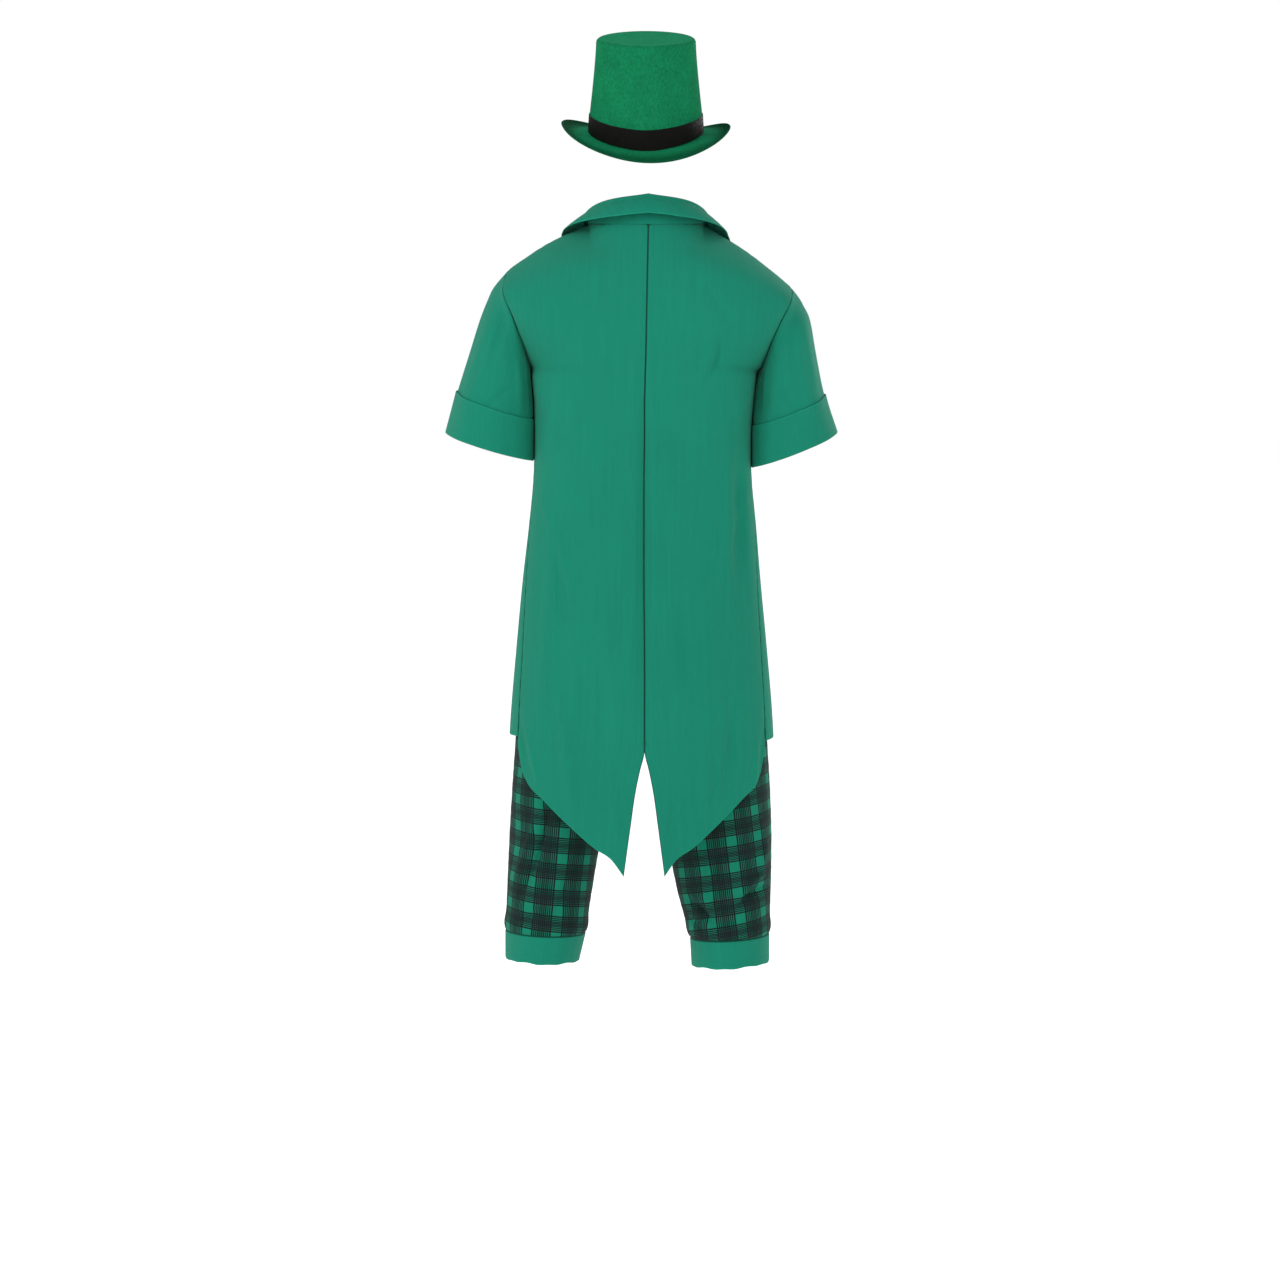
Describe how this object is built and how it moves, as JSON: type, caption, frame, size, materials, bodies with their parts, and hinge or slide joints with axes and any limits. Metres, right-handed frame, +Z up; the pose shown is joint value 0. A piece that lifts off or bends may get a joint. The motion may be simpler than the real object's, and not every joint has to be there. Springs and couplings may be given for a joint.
{
  "type": "saint patrick's day costume with top hat, tailcoat and knee breeches",
  "caption": "A green felt top hat, a short-sleeved green tailcoat with pointed tails and checked knee breeches with plain bands, held in the form they have when worn",
  "frame": {"origin": "the nape: the middle of the coat's back neck seam, where the wearer's neck holds the coat up", "axes": "+Z up; the costume's front faces -Y; +X is the wearer's left"},
  "size_m": [0.6155, 0.2858, 1.4586],
  "materials": {
    "coat_cloth": "matte plain-woven polyester, emerald green",
    "check_cloth": "matte woven polyester printed with a black line check on emerald green",
    "felt": "pressed felt with a short nap, green",
    "ribbon": "black ribbon with a slight sheen",
    "button": "dark green plastic"
  },
  "bodies": {
    "root": {"coat_back_left": "coat_cloth", "coat_back_right": "coat_cloth", "coat_front_left": "coat_cloth", "coat_front_right": "coat_cloth", "collar": "coat_cloth", "lapel_left": "coat_cloth", "lapel_right": "coat_cloth", "sleeve_left": "coat_cloth", "sleeve_right": "coat_cloth", "sleeve_cuff_left": "coat_cloth", "sleeve_cuff_right": "coat_cloth", "button_1": "button", "button_2": "button", "button_3": "button", "breeches_back_left": "check_cloth", "breeches_back_right": "check_cloth", "breeches_front_left": "check_cloth", "breeches_front_right": "check_cloth", "waistband": "coat_cloth", "knee_band_left": "coat_cloth", "knee_band_right": "coat_cloth", "hat_crown": "felt", "hat_brim": "felt", "hat_band": "ribbon"}
  },
  "joints": []
}
